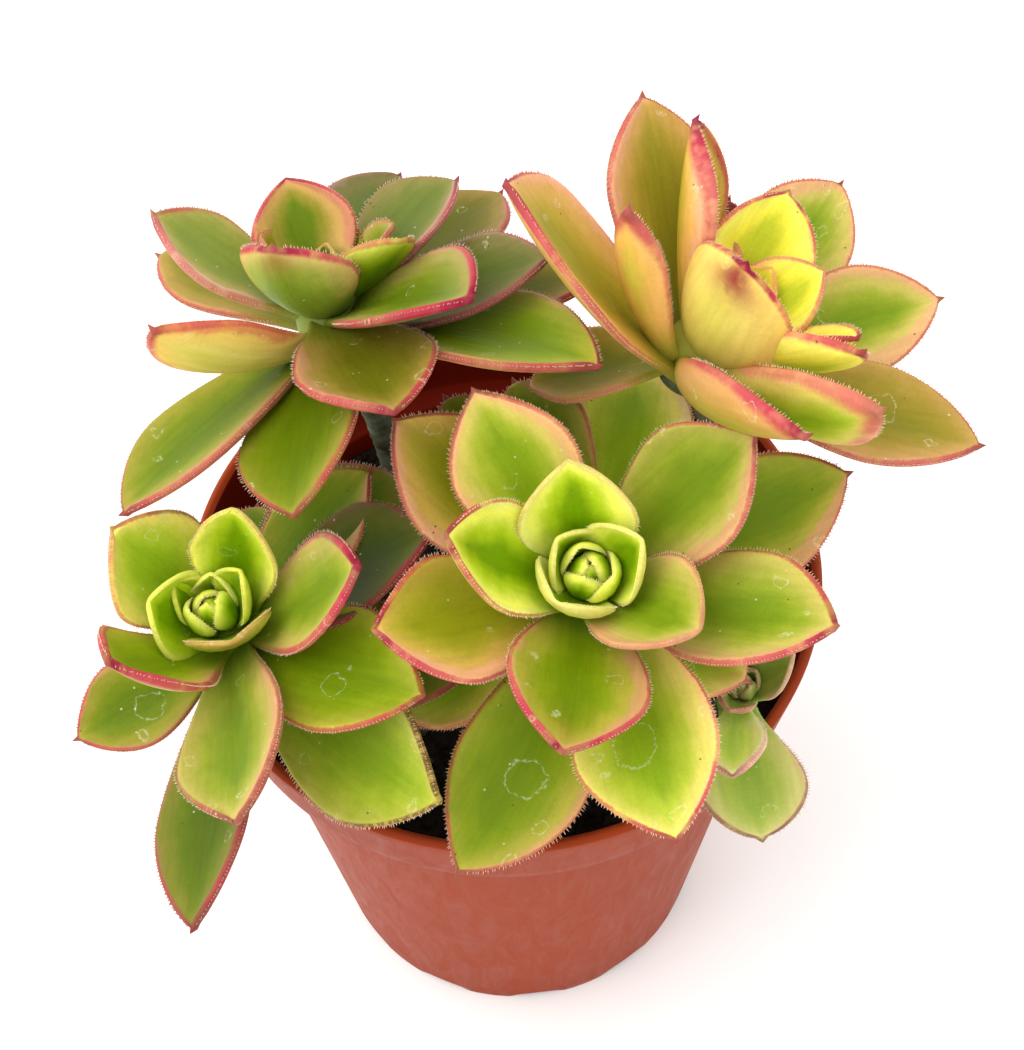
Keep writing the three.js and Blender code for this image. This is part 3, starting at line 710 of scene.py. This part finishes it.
large_leaf_grid = (40, 46)
bud_leaf_count = 6
golden_angle = 137.5
crown_profile = [(0, -7), (5, -7), (6, -4), (6, 2), (3.6, 5), (0, 6)]
crown_steps = 32
hair_gap = 0.57
hair_length = 0.78
hair_root = 0.13
hair_samples = 160
rib_steps = 240
unmarked_mm = 9.0


def width_share(leaf, share):
    """Half the leaf's width at a share of its length, from a narrow foot to a blunt point."""
    if share < leaf.widest:
        shoulder = math.sin(share / leaf.widest * math.pi / 2) ** shoulder_power
        return leaf.foot + (1 - leaf.foot) * shoulder
    past = (share - leaf.widest) / (1 - leaf.widest)
    return max(0, 1 - past**point_power) ** leaf.blunt


def leaf_rows(rosette, leaf, shares):
    """A leaf's middle line at shares of its length: place, axes, half width and thickness."""
    across, ahead_axis, along = crown_axes(rosette)

    def heading(share):
        turn = math.radians(leaf.turn + leaf.sway * share)
        lift = math.radians(leaf.rise + leaf.bend * share)
        outward = across * math.cos(turn) + ahead_axis * math.sin(turn)
        return outward, outward * math.cos(lift) + along * math.sin(lift)

    foot = Vector(rosette["crown"]) + (along * leaf.seat + heading(0)[0] * leaf.attach) * rosette["scale"]
    rib = [foot]
    for step in range(rib_steps):
        rib.append(rib[-1] + heading((step + 0.5) / rib_steps)[1] * leaf.length / rib_steps)
    rows = []
    for share in shares:
        outward, ahead = heading(share)
        flat_side = along.cross(outward).normalized()
        flat_up = ahead.cross(flat_side)
        roll = math.radians(leaf.roll)
        side = flat_side * math.cos(roll) + flat_up * math.sin(roll)
        place = share * rib_steps
        before = min(rib_steps - 1, int(place))
        taper = 0.35 + 0.65 * math.sqrt(max(0, 1 - share**3))
        row = SimpleNamespace(share=share, ahead=ahead, side=side, up=ahead.cross(side))
        row.middle = rib[before].lerp(rib[before + 1], place - before)
        row.half = leaf.width / 2 * width_share(leaf, share)
        row.deep = (thickness_at_root + thickness_per_length * leaf.length) * taper
        rows.append(row)
    return rows


def on_leaf(leaf, row, spot, lift):
    """A point of the leaf: spot is -1 to 1 across its trough, lift its height off the upper surface."""
    angle = spot * leaf.cup
    ragged = 1 + 0.04 * abs(spot) * noise.noise(Vector((3.4 * row.share, math.copysign(5, spot), leaf.seed)))
    radius = row.half / leaf.cup * ragged
    wave = leaf.wave * spot * spot * noise.noise(Vector((2.6 * row.share, spot, leaf.seed)))
    normal = row.up * math.cos(angle) - row.side * math.sin(angle)
    trough = row.side * math.sin(angle) + row.up * (1 - math.cos(angle))
    return row.middle + trough * radius + normal * (lift + wave)


def surface_lift(leaf, row, spot, under):
    """How far the upper or the under surface lies off the trough's line, with a rounded margin between."""
    thick = min(leaf.margin, 0.4 * row.half)
    inset = min(1, row.half * (1 - abs(spot)) / max(thick, 0.01))
    rounded = thick * math.sqrt(1 - (1 - inset) ** 2)
    dimple = leaf.wave * 0.3 * noise.noise(Vector((0.16 * row.half * spot, 4 * row.share, leaf.seed + 7)))
    if under:
        return -margin_sink - rounded - max(0, row.deep - 2 * thick) * (1 - abs(spot) ** belly_power)
    groove = leaf.groove * (1 - row.share) * math.exp(-((spot * row.half / 1.6) ** 2))
    return rounded - margin_sink - groove + dimple * inset


# What each vertex of a leaf tells the leaf's skin: lengths in mm, shares and amounts, and the leaf's colours
lengths = ("margin_mm", "across_mm", "along_mm", "rim_mm", "chalk_mm")
amounts = ("share", "outness", "seed", "red", "dry", "stain")
leaf_colours = ("leaf_foot", "leaf_middle", "leaf_flank", "leaf_edge", "leaf_lip", "leaf_rim")
layer_kinds = dict.fromkeys(lengths + amounts, "float") | dict.fromkeys(leaf_colours, "float_color")


def new_layers(bm):
    """Gives a bmesh the layers that the skin reads."""
    return {name: getattr(bm.verts.layers, kind).new(name) for name, kind in layer_kinds.items()}


def mark_vertex(leaf, row, spot, under, vertex, layers):
    """Stores what the leaf's skin needs to know at a vertex, in mm and shares of the leaf."""
    margin_mm = row.half * (1 - abs(spot))
    outness = 1 - margin_mm / (leaf.width / 2)
    foot_fade = 0.25 + 0.75 * smooth_step(row.share, 0.02, 0.4)
    # The outer colours lean toward the lit side of the leaf: painted light
    outness = outness * leaf.spread * foot_fade + 0.3 * leaf.sun * spot * foot_fade + (0.08 if under else 0)
    rim = leaf.rim_mm * (1.7 if under else 0.9) * (0.6 + 0.9 * smooth_step(row.share, 0.6, 1))
    tip_stain = math.exp(-(((row.share - 0.93) / 0.16) ** 2) - (spot / 0.55) ** 2)
    chalk_away = math.hypot(
        row.half * spot - leaf.chalk[1] * leaf.width / 2, (row.share - leaf.chalk[0]) * leaf.length
    )
    values = {
        "margin_mm": margin_mm,
        "across_mm": row.half * spot,
        "along_mm": row.share * leaf.length,
        "share": row.share,
        "outness": outness,
        "seed": leaf.seed,
        "rim_mm": rim,
        "red": leaf.red * smooth_step(row.share, 0.02, 0.5) * (0.75 + 0.25 * smooth_step(row.share, 0.7, 1)),
        "dry": leaf.dry * smooth_step(row.share, 0.35, 0.8),
        "stain": leaf.stain * tip_stain * (1 if under else 0.6),
        "chalk_mm": unmarked_mm if under or not leaf.chalk[2] else chalk_away - leaf.chalk[2],
    }
    for name, value in values.items():
        vertex[layers[name]] = value
    for name, colour in leaf.colours.items():
        vertex[layers[name]] = colour


def make_blade(bm, leaf, rosette, layers):
    """The leaf's body: a grid wrapped round it, from a closed foot in the crown to a short sharp point."""
    around, steps = small_leaf_grid if leaf.length < small_leaf else large_leaf_grid
    made = bmesh.ops.create_grid(bm, x_segments=around, y_segments=steps, size=1)
    rows = leaf_rows(rosette, leaf, [0] + [1 - (1 - i / (steps - 1)) ** 1.35 for i in range(steps)])
    for vertex in made["verts"]:
        number = round((vertex.co.y + 1) / 2 * steps)
        row = rows[number]
        spot = math.cos(math.pi * vertex.co.x)
        under = math.sin(math.pi * vertex.co.x) < -0.001
        if number == 0:
            vertex.co = row.middle
        elif number == steps:
            vertex.co = row.middle + row.ahead * leaf.point + row.up * 0.3 * leaf.point
        else:
            vertex.co = on_leaf(leaf, row, spot, surface_lift(leaf, row, spot, under))
        mark_vertex(leaf, row, spot, under, vertex, layers)
    bmesh.ops.remove_doubles(bm, verts=bm.verts, dist=0.0005)
    bmesh.ops.recalc_face_normals(bm, faces=bm.faces)


def make_hairs(bm, leaf, rosette, chance, layers):
    """The fringe: short hairs in a single row along both margins, leaning a little toward the leaf's tip."""
    shares = [0.14 + 0.85 * i / hair_samples for i in range(hair_samples + 1)]
    rows = leaf_rows(rosette, leaf, shares)
    for spot in (-1, 1):
        margin = [on_leaf(leaf, row, spot, -margin_sink) for row in rows]
        reach = chance.uniform(0, hair_gap)
        for row, here, after in zip(rows, margin, margin[1:]):
            step = after - here
            reach -= step.length
            if reach > 0:
                continue
            reach += hair_gap * chance.uniform(0.7, 1.35)
            angle = spot * leaf.cup
            run = step.normalized()
            outward = (row.side * math.cos(angle) + row.up * math.sin(angle)) * spot
            outward = (outward - run * outward.dot(run)).normalized()
            tilt = run.cross(outward) * chance.uniform(-0.25, 0.25) + run * chance.uniform(0.05, 0.5)
            aim = (outward + tilt).normalized()
            length = leaf.hair * chance.uniform(0.65, 1.2) * smooth_step(row.share, 0.1, 0.4)
            place = Matrix.Translation(here + aim * (length / 2 - 0.06))
            turned = aim.to_track_quat("Z", "Y").to_matrix().to_4x4()
            hair = bmesh.ops.create_cone(
                bm,
                cap_ends=True,
                segments=4,
                radius1=hair_root,
                radius2=0,
                depth=length,
                matrix=place @ turned,
            )
            for vertex in hair["verts"]:
                vertex[layers["share"]] = 0.0 if (vertex.co - here).length < length / 2 else 1.0
                vertex[layers["leaf_lip"]] = leaf.colours["leaf_lip"]
                for face in vertex.link_faces:
                    face.material_index = 1


def make_leaf(rosette, ring, row, marks):
    """One whole leaf, with its fringe, as a bmesh of its own."""
    leaf = SimpleNamespace(**dict(zip(form_names, ring_forms[ring])))
    leaf.turn, leaf.rise, leaf.bend, leaf.length, leaf.width, leaf.roll, leaf.sway, leaf.tone = row
    chance = random.Random(f"leaf {leaf.turn} {leaf.rise} {leaf.length}")
    small = leaf.length < small_leaf
    leaf.cup = math.radians(leaf.cup)
    leaf.seed = chance.uniform(0, 40)
    leaf.wave = chance.uniform(0.15, 0.3) if small else chance.uniform(0.5, 1.1)
    leaf.groove = 0.0 if small else 0.35
    leaf.point = 0.5 if small else 1.1
    leaf.hair = hair_length * (0.65 if small else 1)
    leaf.rim_mm = rim_width
    leaf.sun = leaf.dry = leaf.stain = 0.0
    leaf.spread = leaf.pale = 1.0
    leaf.chalk = (0, 0, 0)
    leaf.rim = "crimson"
    for name, value in marks.items():
        setattr(leaf, name, value)
    # pale scales the tone: partly the leaf's own lightness, partly painted light and shade for where the
    # leaf lies
    leaf.colours = {}
    for name, colour in zip(leaf_colours, tones[leaf.tone]):
        channels = [min(0.85, leaf.pale * channel) for channel in linear(colour)[:3]]
        leaf.colours[name] = (*channels, 1.0)
    leaf.colours["leaf_rim"] = linear(rims[leaf.rim])
    bm = bmesh.new()
    layers = new_layers(bm)
    make_blade(bm, leaf, rosette, layers)
    make_hairs(bm, leaf, rosette, chance, layers)
    return bm


def bud_leaf(rosette, i):
    """The row and the marks of one leaf of the closed bud: each is steeper, smaller and nearer the axis."""
    size = rosette["bud_length"] * rosette["scale"] * (1 - 0.1 * i)
    turn = rosette["bud_turn"] + golden_angle * i
    row = (turn, 66 + 4 * i, 32 + 6 * i, size, 0.95 * size, 0, 0, rosette["bud_tone"])
    attach = 0.8 * size / 2 / math.radians(ring_forms["bud"][0]) / rosette["scale"]
    return row, dict(seat=6 + 0.6 * i, attach=min(3, attach), spread=0.9)


def join_into(head, grown):
    """Moves what has grown, a leaf or the crown, into the head."""
    mesh = bpy.data.meshes.new("grown")
    grown.to_mesh(mesh)
    grown.free()
    head.from_mesh(mesh)
    bpy.data.meshes.remove(mesh)


def make_foliage(rosette):
    """One head: its leaves from the outer ring to the bud, and the crown that they grow from."""
    head = bmesh.new()
    layers = new_layers(head)
    planned = [(ring, tuple(row), marks) for ring, *row, marks in rosette["leaves"]]
    planned += [("bud", *bud_leaf(rosette, i)) for i in range(bud_leaf_count)]
    for ring, row, marks in planned:
        join_into(head, make_leaf(rosette, ring, row, marks))
    leaf_faces = len(head.faces)
    leaf_verts = len(head.verts)
    crown = bmesh.new()
    spun(crown, crown_profile, crown_steps)
    across, ahead, along = crown_axes(rosette)
    turned = Matrix((across, ahead, along)).transposed().to_4x4()
    placed = Matrix.Translation(rosette["crown"]) @ turned @ Matrix.Scale(rosette["scale"], 4)
    bmesh.ops.transform(crown, matrix=placed, verts=crown.verts)
    join_into(head, crown)
    head.verts.ensure_lookup_table()
    head.faces.ensure_lookup_table()
    pale = linear(tones[rosette["leaves"][0][8]][0])
    for vertex in head.verts[leaf_verts:]:
        vertex[layers["margin_mm"]] = unmarked_mm
        vertex[layers["chalk_mm"]] = unmarked_mm
        for name in leaf_colours:
            vertex[layers[name]] = pale
    for face in head.faces[leaf_faces:]:
        if (face.calc_center_median() - Vector(rosette["crown"])).dot(along) < -5 * rosette["scale"]:
            face.material_index = 2
    return head


# Aeonium leaf skin, grown: a thin wax over wet green flesh, so satin, a little see-through and finely
# veined. Rain has left it pale rings and specks of dirt, and its margin is stained red.
skin = new_material("waxy_leaf_skin")
read = {}
for name, kind in layer_kinds.items():
    attribute = add_node(skin, "Attribute", attribute_name=name)
    read[name] = attribute.outputs["Fac" if kind == "float" else "Color"]
place = add_node(skin, "CombineXYZ", {0: read["across_mm"], 1: read["along_mm"], 2: read["seed"]})
mottle = add_node(skin, "TexNoise", {"Vector": place, "Scale": 0.22, "Detail": 3, "Roughness": 0.6})
fine = add_node(skin, "TexNoise", {"Vector": place, "Scale": 1.6, "Detail": 5, "Roughness": 0.65})
vein_run = add_node(skin, "Mapping", {"Vector": place, "Scale": (1.1, 0.12, 1)})
veins = add_node(skin, "TexNoise", {"Vector": vein_run, "Scale": 0.8, "Detail": 3, "Roughness": 0.5})

# Distances that the noise makes ragged: how far out a place lies, and how far from the margin in rim widths
outness = add_node(skin, "Math", {0: read["outness"], 1: 0.18}, operation="SUBTRACT")
outward = add_node(skin, "Math", {0: mottle, 1: 0.36, 2: outness}, operation="MULTIPLY_ADD")
margin = add_node(skin, "Math", {0: read["margin_mm"], 1: 0.35}, operation="SUBTRACT")
ragged_margin = add_node(skin, "Math", {0: fine, 1: 0.7, 2: margin}, operation="MULTIPLY_ADD")
rim_widths = add_node(skin, "Math", {0: ragged_margin, 1: read["rim_mm"]}, operation="DIVIDE")

# A large ring of chalk where a drop of hard water dried, many small ones, and specks
chalk = add_node(skin, "Math", {0: read["chalk_mm"], 1: 2.5}, operation="SUBTRACT")
ragged_chalk = add_node(skin, "Math", {0: mottle, 1: 5.0, 2: chalk}, operation="MULTIPLY_ADD")
chalk_away = add_node(skin, "Math", {0: ragged_chalk}, operation="ABSOLUTE")
drop_shift = {0: mottle.outputs["Color"], 1: (5.0, 5.0, 0.0), 2: place}
shifted = add_node(skin, "VectorMath", drop_shift, operation="MULTIPLY_ADD")
drops = add_node(skin, "TexVoronoi", {"Vector": shifted, "Scale": 0.2}, feature="F1")
drop_ring = add_node(skin, "Math", {0: drops.outputs["Distance"], 1: 0.24}, operation="SUBTRACT")
drop_away = add_node(skin, "Math", {0: drop_ring}, operation="ABSOLUTE")
drop_pick = add_node(skin, "SeparateColor", {0: drops.outputs["Color"]})
some_drops = add_node(skin, "Math", {0: drop_pick, 1: 0.76}, operation="GREATER_THAN")
specks = add_node(skin, "TexVoronoi", {"Vector": place, "Scale": 0.5}, feature="F1")
speck_pick = add_node(skin, "SeparateColor", {0: specks.outputs["Color"]})
dirt = add_node(skin, "Math", {0: speck_pick.outputs[1], 1: 0.94}, operation="GREATER_THAN")
flakes = add_node(skin, "Math", {0: speck_pick.outputs[1], 1: 0.09}, operation="LESS_THAN")

# Smooth changes: what each is measured on, where it starts and ends, and its values there
ranges = {
    "flank": (outward, 0.15, 0.55, 0.0, 1.0),
    "edge": (outward, 0.45, 0.86, 0.0, 1.0),
    "lip": (outward, 0.84, 1.02, 0.0, 1.0),
    "foot": (read["share"], 0.02, 0.35, 0.8, 0.0),
    "vein_tint": (veins, 0.3, 0.7, 0.95, 1.05),
    "fine_tint": (fine, 0.3, 0.7, 0.96, 1.04),
    "rim": (rim_widths, 1.5, 0.5, 0.0, 1.0),
    "rim_gaps": (mottle, 0.3, 0.55, 0.55, 1.0),
    "rim_end": (read["share"], 0.9, 1.0, 0.0, 0.6),
    "stain_gaps": (mottle, 0.3, 0.6, 0.5, 1.0),
    "dry": (rim_widths, 1.9, 0.6, 0.0, 1.0),
    "dry_gaps": (fine, 0.4, 0.55, 0.2, 1.0),
    "chalk": (chalk_away, 0.26, 0.04, 0.0, 0.32),
    "chalk_gaps": (fine, 0.42, 0.58, 0.1, 1.0),
    "drop": (drop_away, 0.045, 0.01, 0.0, 0.28),
    "drop_gaps": (fine, 0.42, 0.56, 0.1, 1.0),
    "speck": (specks.outputs["Distance"], 0.13, 0.07, 0.0, 0.8),
    "roughness": (fine, 0.3, 0.7, 0.38, 0.5),
}
shares = {}
for name, (measure, start, end, low, high) in ranges.items():
    inputs = {0: measure, 1: start, 2: end, 3: low, 4: high}
    shares[name] = add_node(skin, "MapRange", inputs, interpolation_type="SMOOTHSTEP")

# Products of shares: a mark shows where all of its factors do
products = {
    "tint": (shares["vein_tint"], shares["fine_tint"]),
    "rim": (shares["rim"], read["red"], shares["rim_gaps"]),
    "stain": (read["stain"], shares["stain_gaps"]),
    "dry": (shares["dry"], read["dry"], shares["dry_gaps"]),
    "chalk": (shares["chalk"], shares["chalk_gaps"]),
    "drop": (shares["drop"], some_drops, shares["drop_gaps"]),
    "dirt": (shares["speck"], dirt),
    "flake": (shares["speck"], flakes, 0.6),
}
for name, (share, *factors) in products.items():
    for factor in factors:
        share = add_node(skin, "Math", {0: share, 1: factor}, operation="MULTIPLY")
    shares[name] = share
shares["rings"] = add_node(skin, "Math", {0: shares["chalk"], 1: shares["drop"]}, operation="MAXIMUM")
rim_colours = {0: shares["rim_end"], 6: read["leaf_rim"], 7: linear("#5c1024")}

# The flesh from the middle outward, then the marks that lie over it
flesh = read["leaf_middle"]
for name in ("flank", "edge", "lip", "foot"):
    inputs = {0: shares[name], 6: flesh, 7: read["leaf_" + name]}
    flesh = add_node(skin, "Mix", inputs, data_type="RGBA")
flesh = add_node(skin, "VectorMath", {0: flesh, 3: shares["tint"]}, operation="SCALE")
marks_over = {
    "rim": add_node(skin, "Mix", rim_colours, data_type="RGBA"),
    "stain": linear("#86182e"),
    "dry": linear("#5e4327"),
    "rings": linear("#dfe2c0"),
    "dirt": linear("#4a3a22"),
    "flake": linear("#e4e6c8"),
}
for name, colour in marks_over.items():
    flesh = add_node(skin, "Mix", {0: shares[name], 6: flesh, 7: colour}, data_type="RGBA")

skin_relief = add_node(skin, "Math", {0: veins, 1: 1.5, 2: fine}, operation="MULTIPLY_ADD")
skin_bump = add_node(skin, "Bump", {"Height": skin_relief, "Strength": 0.25, "Distance": 0.0003})
skin_shader = add_node(
    skin,
    "BsdfPrincipled",
    {
        "Base Color": flesh,
        "Roughness": shares["roughness"],
        "Normal": skin_bump,
        "Specular IOR Level": 0.12,
        "Subsurface Weight": 0.15,
        "Subsurface Radius": (1.0, 0.9, 0.3),
        "Subsurface Scale": 0.0014,
    },
)
add_node(skin, "OutputMaterial", {"Surface": skin_shader})

# Marginal hairs, grown: dead, air-filled cells, so whitish where they stand clear of the coloured margin
hair_cell = new_material("marginal_hair")
hair_out = add_node(hair_cell, "Attribute", attribute_name="share").outputs["Fac"]
hair_foot = add_node(hair_cell, "Attribute", attribute_name="leaf_lip").outputs["Color"]
hair_spot = add_node(hair_cell, "TexCoord").outputs["Object"]
hair_patch = add_node(hair_cell, "TexNoise", {"Vector": hair_spot, "Scale": 220, "Detail": 2})
hair_tips = {0: hair_patch, 6: linear("#e0b8a0"), 7: linear("#e8dcc0")}
hair_tip = add_node(hair_cell, "Mix", hair_tips, data_type="RGBA")
hair_range = {0: hair_out, 1: 0.15, 2: 0.85, 3: 0.0, 4: 1.0}
hair_fade = add_node(hair_cell, "MapRange", hair_range, interpolation_type="SMOOTHSTEP")
hair_colour = add_node(hair_cell, "Mix", {0: hair_fade, 6: hair_foot, 7: hair_tip}, data_type="RGBA")
hair_shader = add_node(hair_cell, "BsdfPrincipled", {"Base Color": hair_colour, "Roughness": 0.5})
add_node(hair_cell, "OutputMaterial", {"Surface": hair_shader})

for name, rosette in rosettes.items():
    stem = bmesh.new()
    make_stem(stem, rosette, name)
    bmesh.ops.recalc_face_normals(stem, faces=stem.faces)
    finished_piece(f"bare_stem_{name}", stem, [stem_bark], f"stem_{name}")
    head = make_foliage(rosette)
    materials = [skin, hair_cell, stem_bark]
    finished_piece(f"foliage_{name}", head, materials, f"rosette_{name}")


# Studio
# A white table and a white room, lit by one large soft lamp from the upper left and by the room itself.
table_half_width = 2500
table = bmesh.new()
bmesh.ops.create_grid(table, x_segments=1, y_segments=1, size=table_half_width)
table_piece = new_object("white_table", table)
white_card = new_material("white_card")
card_shader = add_node(white_card, "BsdfPrincipled", {"Base Color": linear("#f6f5f3"), "Roughness": 0.9})
add_node(white_card, "OutputMaterial", {"Surface": card_shader})
table_piece.data.materials.append(white_card)

room = bpy.data.worlds.new("white_room")
room.use_nodes = True
room.node_tree.nodes["Background"].inputs["Color"].default_value = linear("#ffffff")
room.node_tree.nodes["Background"].inputs["Strength"].default_value = 1.35
bpy.context.scene.world = room
softbox = bpy.data.lights.new("softbox", "AREA")
softbox.shape = "RECTANGLE"
softbox.size = 0.9
softbox.size_y = 0.9
softbox.energy = 8
softbox_object = bpy.data.objects.new("softbox", softbox)
softbox_place = Vector((-0.55, -0.15, 1.0))
toward_plant = (Vector((0, 0, 0.1)) - softbox_place).to_track_quat("-Z", "Y")
softbox_object.matrix_world = Matrix.Translation(softbox_place) @ toward_plant.to_matrix().to_4x4()
bpy.context.scene.collection.objects.link(softbox_object)

# The camera stands in front of the pot and above it, looking down by its elevation and turned by its roll
camera_place = Vector((0.0017, -0.23123, 0.45849))
camera_elevation = math.radians(55.26)
camera_roll = math.radians(-2.27)
forward = Vector((0, math.cos(camera_elevation), -math.sin(camera_elevation)))
level_up = Vector((0, math.sin(camera_elevation), math.cos(camera_elevation)))
right = Vector((1, 0, 0)) * math.cos(camera_roll) + level_up * math.sin(camera_roll)
upward = level_up * math.cos(camera_roll) - Vector((1, 0, 0)) * math.sin(camera_roll)
camera = bpy.data.cameras.new("camera")
camera.lens = 75.43
camera.sensor_width = 36
camera.clip_start = 0.01
camera_object = bpy.data.objects.new("camera", camera)
turned = Matrix((right, upward, -forward)).transposed().to_4x4()
camera_object.matrix_world = Matrix.Translation(camera_place) @ turned
bpy.context.scene.collection.objects.link(camera_object)
bpy.context.scene.camera = camera_object
bpy.context.scene.view_settings.view_transform = "Standard"
